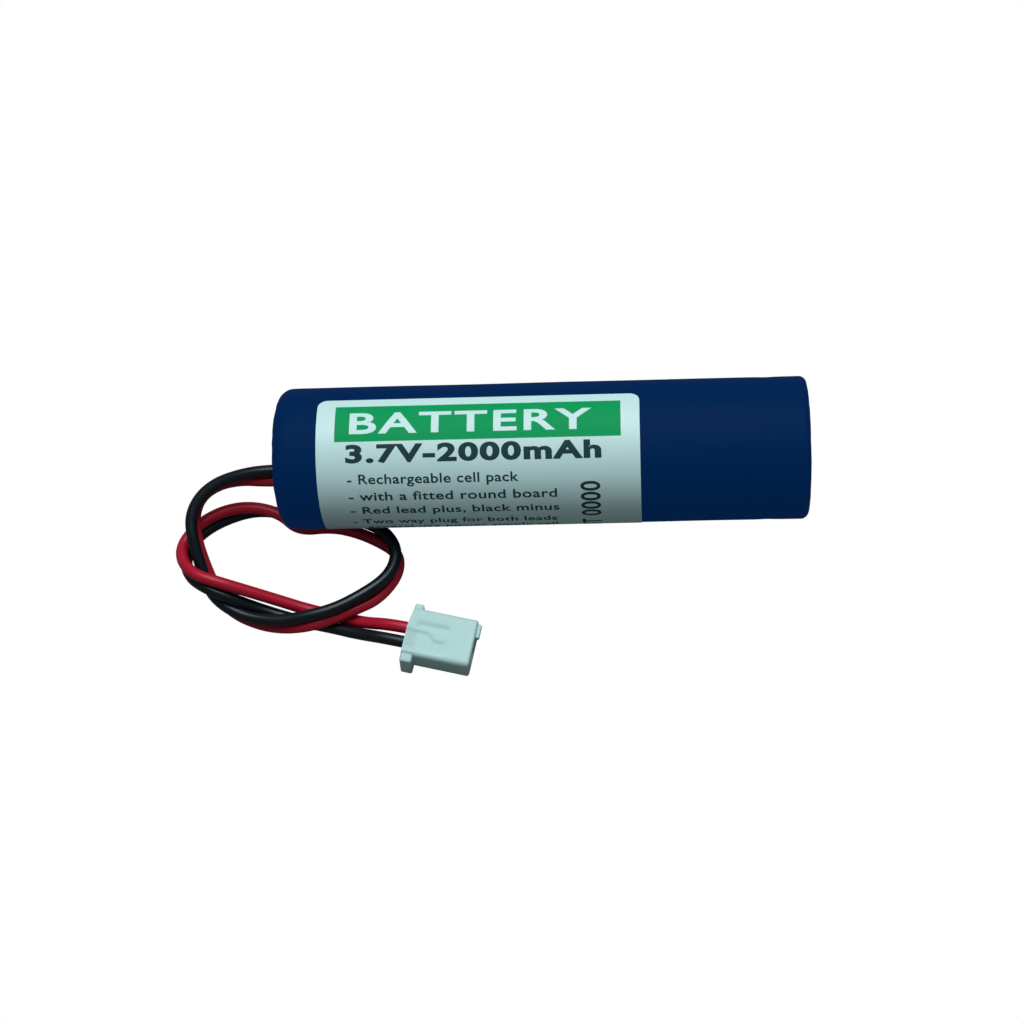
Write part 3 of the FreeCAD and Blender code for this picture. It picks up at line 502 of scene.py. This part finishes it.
def makeLetters(line):
    bm = letterMesh(line["text"], line["bold"], line["spacing"])
    left = min(vert.co.x for vert in bm.verts)
    right = max(vert.co.x for vert in bm.verts)
    low, high = line["low"] * mm, line["high"] * mm
    for vert in bm.verts:
        run = low + (vert.co.x - left) / (right - left) * (high - low)
        lift = (vert.co.y / capitalHeight - 0.5) * line["height"] * mm
        if line["turnedAt"] is None:
            vert.co.x, vert.co.y = run, lift
        else:
            vert.co.x, vert.co.y = line["turnedAt"] * mm - lift, run
    bottom = min(vert.co.y for vert in bm.verts)
    top = max(vert.co.y for vert in bm.verts)
    sliceMesh(bm, 1, bottom, top, label["letterStep"])
    rise = label["inkRise"]
    bmesh.ops.solidify(bm, geom=bm.faces[:], thickness=rise)
    peak = max(vert.co.z for vert in bm.verts)
    for vert in bm.verts:
        vert.co.z += rise - peak
    bmesh.ops.recalc_face_normals(bm, faces=bm.faces[:])
    wrapOn(bm, labelRadius + line["level"] * rise, line["angle"])
    return finishedMesh(line["name"], bm, line["ink"], 45.0)


for line in lettering:
    makeLetters({**noteStyle, **line})
print("label printed")


# ---- the plug, made in its own frame in millimetres and then placed
plug = {
    "place": Vector((-18.0, -22.9, 0.233)) * mm,
    "yaw": -12.0, "pitch": 4.0, "roll": -3.0,
    "length": 8.6, "width": 6.6, "height": 4.8, "floor": 0.55,
    "flange": (1.2, 7.8, 5.12), "flangeEdge": 0.3, "earReach": 0.35,
    "bow": {"depth": 0.4, "from": 3.6, "face": 0.3, "cuts": (-2.2, -1.0, 0.2, 1.4, 2.6)},
    "longEdge": 0.75, "rimEdge": 0.32, "sliceAlong": 0.18, "sliceAcross": 0.16, "samePoint": 1e-6,
    "cavity": 1.8, "cavityPitch": 2.0, "cavityLevel": 2.95,
    "groove": {"start": 1.0, "end": 5.1, "low": 0.62, "high": 1.35, "soft": 0.42, "depth": 0.24},
    "step": {"end": 5.6, "depth": 0.20, "soft": 0.34},
    "rim": {"start": 7.2, "rise": 0.09},
    "block": {"size": (0.5, 1.9, 1.0), "sunk": 0.4, "fromSide": 0.5, "fromTop": 0.35, "edge": 0.18}}


def plugMatrix():
    turn = Matrix.Rotation(math.radians(plug["yaw"]), 4, "Z")
    turn = turn @ Matrix.Rotation(math.radians(plug["pitch"]), 4, "Y")
    turn = turn @ Matrix.Rotation(math.radians(plug["roll"]), 4, "X")
    return Matrix.Translation(plug["place"]) @ turn @ Matrix.Scale(mm, 4)


def cubeBetween(bm, low, high):
    verts = bmesh.ops.create_cube(bm, size=1.0)["verts"]
    size = Vector(high) - Vector(low)
    bmesh.ops.scale(bm, vec=size, verts=verts)
    bmesh.ops.translate(bm, vec=(Vector(high) + Vector(low)) / 2, verts=verts)
    return verts


def softenEdges(bm, edges, offset, segments):
    bmesh.ops.bevel(bm, geom=edges, offset=offset, affect="EDGES", segments=segments,
                    profile=0.5, material=-1)


def plugTop(u, v):  # relief of the top face: a groove, a curved step and a raised end
    groove, step, rim = plug["groove"], plug["step"], plug["rim"]
    height = -groove["depth"] * window(groove["start"], groove["end"], 0.45, u) * window(
        groove["low"], groove["high"], groove["soft"], v)
    lowEdge = 0.15 - 0.95 * smoothStep(2.4, 3.6, u)
    below = 1 - smoothStep(lowEdge - step["soft"], lowEdge + step["soft"], v)
    fade = 1 - smoothStep(step["end"] - 1.6, step["end"], u)
    height -= step["depth"] * fade * below * smoothStep(-2.9, -2.0, v)
    return height + rim["rise"] * smoothStep(rim["start"] - 0.3, rim["start"] + 0.5, u)


def boreCavity(bm, middle):
    loops = []
    for end in (0.0, plug["length"]):
        faces = [face for face in bm.faces if abs(face.normal.x) > 0.99
                 and abs(face.calc_center_median().x - end) < 1e-4
                 and abs(face.calc_center_median().y - middle) < plug["cavity"] / 2
                 and abs(face.calc_center_median().z - plug["cavityLevel"]) < plug["cavity"] / 2]
        border = {edge for face in faces for edge in face.edges
                  if sum(1 for other in edge.link_faces if other in faces) == 1}
        bmesh.ops.delete(bm, geom=faces, context="FACES")
        loops += sorted((edge for edge in border if edge.is_valid), key=lambda edge: edge.index)
    bmesh.ops.bridge_loops(bm, edges=loops)


def alongX(edge):
    return abs(edge.verts[0].co.x - edge.verts[1].co.x) > 0.4


def makePlug():
    bm = bmesh.new()
    half = plug["width"] / 2
    floor, top = plug["floor"], plug["floor"] + plug["height"]
    cubeBetween(bm, (0, -half, floor), (plug["length"], half, top))
    softenEdges(bm, [edge for edge in bm.edges if alongX(edge)], plug["longEdge"], 7)
    rim = [edge for edge in bm.edges if not alongX(edge) and edge.verts[0].co.x > 1
           and edge.calc_face_angle(0) > 1.0]
    softenEdges(bm, rim, plug["rimEdge"], 4)
    sliceMesh(bm, 0, 0, plug["length"], plug["sliceAlong"])
    sliceMesh(bm, 1, -half, half, plug["sliceAcross"])
    for side in (-1, 1):
        for wall in (-0.5, 0.5):
            cutAt(bm, 1, side * plug["cavityPitch"] / 2 + wall * plug["cavity"], plug["samePoint"])
    for wall in (-0.5, 0.5):
        cutAt(bm, 2, plug["cavityLevel"] + wall * plug["cavity"], plug["samePoint"])
    for vert in bm.verts:
        share = smoothStep(top - plug["longEdge"], top - 0.02, vert.co.z)
        vert.co.z += share * plugTop(vert.co.x, vert.co.y)
    bm.edges.index_update()
    for side in (-1, 1):
        boreCavity(bm, side * plug["cavityPitch"] / 2)
    depth, width, height = plug["flange"]
    flange = set(cubeBetween(bm, (0, -width / 2, 0), (depth, width / 2, height)))
    for vert in flange:
        if vert.co.y < 0:
            vert.co.y -= plug["earReach"]
    softenEdges(bm, [edge for edge in bm.edges if set(edge.verts) <= flange], plug["flangeEdge"], 3)
    bow = plug["bow"]
    for level in bow["cuts"]:
        cutAt(bm, 1, level, plug["samePoint"])
    for vert in bm.verts:
        if vert.co.x < bow["face"] * depth:
            vert.co.x -= bow["depth"] * smoothStep(bow["from"], 0.0, vert.co.y)
    block = plug["block"]
    reach, wide, tall = block["size"]
    side, peak = half - block["fromSide"], top - block["fromTop"]
    corners = set(cubeBetween(bm, (plug["length"] - block["sunk"], side - wide, peak - tall),
                              (plug["length"] + reach, side, peak)))
    softenEdges(bm, [edge for edge in bm.edges if set(edge.verts) <= corners], block["edge"], 3)
    bmesh.ops.transform(bm, matrix=plugMatrix(), verts=bm.verts[:])
    bmesh.ops.recalc_face_normals(bm, faces=bm.faces[:])
    return finishedMesh("plugHousing", bm, whiteNylon, 40.0)


plugHousing = makePlug()
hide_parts("plug_housing")
print("plug moulded")


# ---- finishes of the carried-over parts, one for each of the record's slots
classLooks = {
    "brushed_steel": {"metal": True, "roughness": (0.24, 0.38), "lineScale": 520.0, "lineStretch": 12.0},
    "aluminium": {"metal": True, "roughness": (0.32, 0.46), "lineScale": 700.0, "lineStretch": 5.0},
    "brass": {"metal": True, "roughness": (0.26, 0.40), "lineScale": 900.0, "lineStretch": 8.0},
    "matte_plastic": {"roughness": (0.55, 0.72), "grainScale": 1500.0, "bump": 0.25},
    "gloss_plastic": {"roughness": (0.28, 0.40), "grainScale": 1100.0, "bump": 0.12},
    "ceramic": {"roughness": (0.45, 0.60), "grainScale": 2200.0, "bump": 0.2},
    "paper": {"roughness": (0.50, 0.62), "grainScale": 2600.0, "bump": 0.15},
    "cardboard": {"roughness": (0.72, 0.88), "grainScale": 1800.0, "grainDetail": 6.0, "bump": 0.5}}


def linear(value):
    return value / 12.92 if value <= 0.04045 else ((value + 0.055) / 1.055) ** 2.4


def slotFinish(entry):
    colour = [linear(value) for value in entry["base_color"][:3]]
    look = {"grainScale": 600.0, "bump": 0.12, "bumpDepth": 0.03 * mm, **classLooks[entry["class"]],
            "colour": [value * 0.90 for value in colour],
            "patchColour": [min(1.0, value * 1.12 + 0.004) for value in colour]}
    make = metalFinish if look.get("metal") else grainFinish
    first, *others = entry["slot"].split("_")
    return make(first + "".join(word.capitalize() for word in others) + "Finish", look)


slotFinishes = {entry["slot"]: slotFinish(entry) for entry in frame["record"]["materials"]}
for subpart in frame["record"]["subparts"]:
    piece = nodes[subpart["node"]]
    piece.data.materials.clear()
    piece.data.materials.append(slotFinishes[subpart["material_slot"]])
print("carried-over parts finished,", len(slotFinishes), "slots")


# ---- floor, light and camera
studio = {
    "floorHalf": 3.0,
    "key": {"angle": 112.5, "reach": 0.55, "size": 0.42, "power": 2.55},
    "camera": {"target": (-3.946, -8.097, 9.3), "azimuth": 11.42, "elevation": 70.0, "roll": -11.957,
               "distance": 270.0, "focal": 2074.76, "frame": 1024, "sensor": 36.0}}


def makeFloor():
    bm = bmesh.new()
    bmesh.ops.create_grid(bm, x_segments=1, y_segments=1, size=studio["floorHalf"])
    mesh = bpy.data.meshes.new("studioFloor")
    bm.to_mesh(mesh)
    bm.free()
    floor = bpy.data.objects.new("studioFloor", mesh)
    bpy.context.scene.collection.objects.link(floor)
    material, tree, shader = newMaterial("floorPaper", Roughness=0.9)
    shader.inputs["Base Color"].default_value = (0.16, 0.16, 0.16, 1)
    glow = tree.nodes.new("ShaderNodeEmission")
    glow.inputs["Color"].default_value = (1, 1, 1, 1)
    glow.inputs["Strength"].default_value = 1.0
    path = tree.nodes.new("ShaderNodeLightPath")
    mix = tree.nodes.new("ShaderNodeMixShader")
    out = tree.nodes["Material Output"]
    tree.links.new(path.outputs["Is Camera Ray"], mix.inputs["Fac"])
    tree.links.new(shader.outputs[0], mix.inputs[1])
    tree.links.new(glow.outputs[0], mix.inputs[2])
    tree.links.new(mix.outputs[0], out.inputs["Surface"])
    mesh.materials.append(material)


def makeWorld():
    world = bpy.data.worlds.new("studioWorld")
    bpy.context.scene.world = world
    world.use_nodes = True
    tree = world.node_tree
    dim = tree.nodes["Background"]
    dim.inputs["Color"].default_value = (0.92, 0.97, 1.0, 1)
    dim.inputs["Strength"].default_value = 0.14
    white = tree.nodes.new("ShaderNodeBackground")
    white.inputs["Color"].default_value = (1, 1, 1, 1)
    path = tree.nodes.new("ShaderNodeLightPath")
    mix = tree.nodes.new("ShaderNodeMixShader")
    tree.links.new(path.outputs["Is Camera Ray"], mix.inputs["Fac"])
    tree.links.new(dim.outputs[0], mix.inputs[1])
    tree.links.new(white.outputs[0], mix.inputs[2])
    tree.links.new(mix.outputs[0], tree.nodes["World Output"].inputs["Surface"])


def makeKeyLight():
    key = studio["key"]
    lamp = bpy.data.lights.new("keyLight", "AREA")
    lamp.shape = "DISK"
    lamp.size = key["size"]
    lamp.energy = key["power"]
    holder = bpy.data.objects.new("keyLight", lamp)
    bpy.context.scene.collection.objects.link(holder)
    turn = math.radians(key["angle"])
    back = Vector((0, -math.cos(turn), math.sin(turn)))
    holder.location = Vector((0, 0, axisZ)) + back * key["reach"]
    holder.rotation_mode = "QUATERNION"
    holder.rotation_quaternion = (-back).to_track_quat("-Z", "Y")


def makeCamera():
    shot = studio["camera"]
    camera = bpy.data.cameras.new("studioCamera")
    camera.sensor_width = shot["sensor"]
    camera.lens = shot["focal"] / shot["frame"] * shot["sensor"]
    camera.clip_start = 0.01
    holder = bpy.data.objects.new("studioCamera", camera)
    bpy.context.scene.collection.objects.link(holder)
    azimuth, elevation, roll = (math.radians(shot[k]) for k in ("azimuth", "elevation", "roll"))
    back = Vector((math.sin(azimuth) * math.cos(elevation), -math.cos(azimuth) * math.cos(elevation),
                   math.sin(elevation)))
    right = Vector((math.cos(azimuth), math.sin(azimuth), 0))
    up = back.cross(right)
    rolledRight = right * math.cos(roll) + up * math.sin(roll)
    rolledUp = up * math.cos(roll) - right * math.sin(roll)
    holder.matrix_world = Matrix.Translation(
        Vector(shot["target"]) * mm + back * shot["distance"] * mm) @ Matrix(
        (rolledRight, rolledUp, back)).transposed().to_4x4()
    bpy.context.scene.camera = holder


makeFloor()
makeWorld()
makeKeyLight()
makeCamera()
bpy.context.scene.view_settings.view_transform = "Standard"
print("studio set")
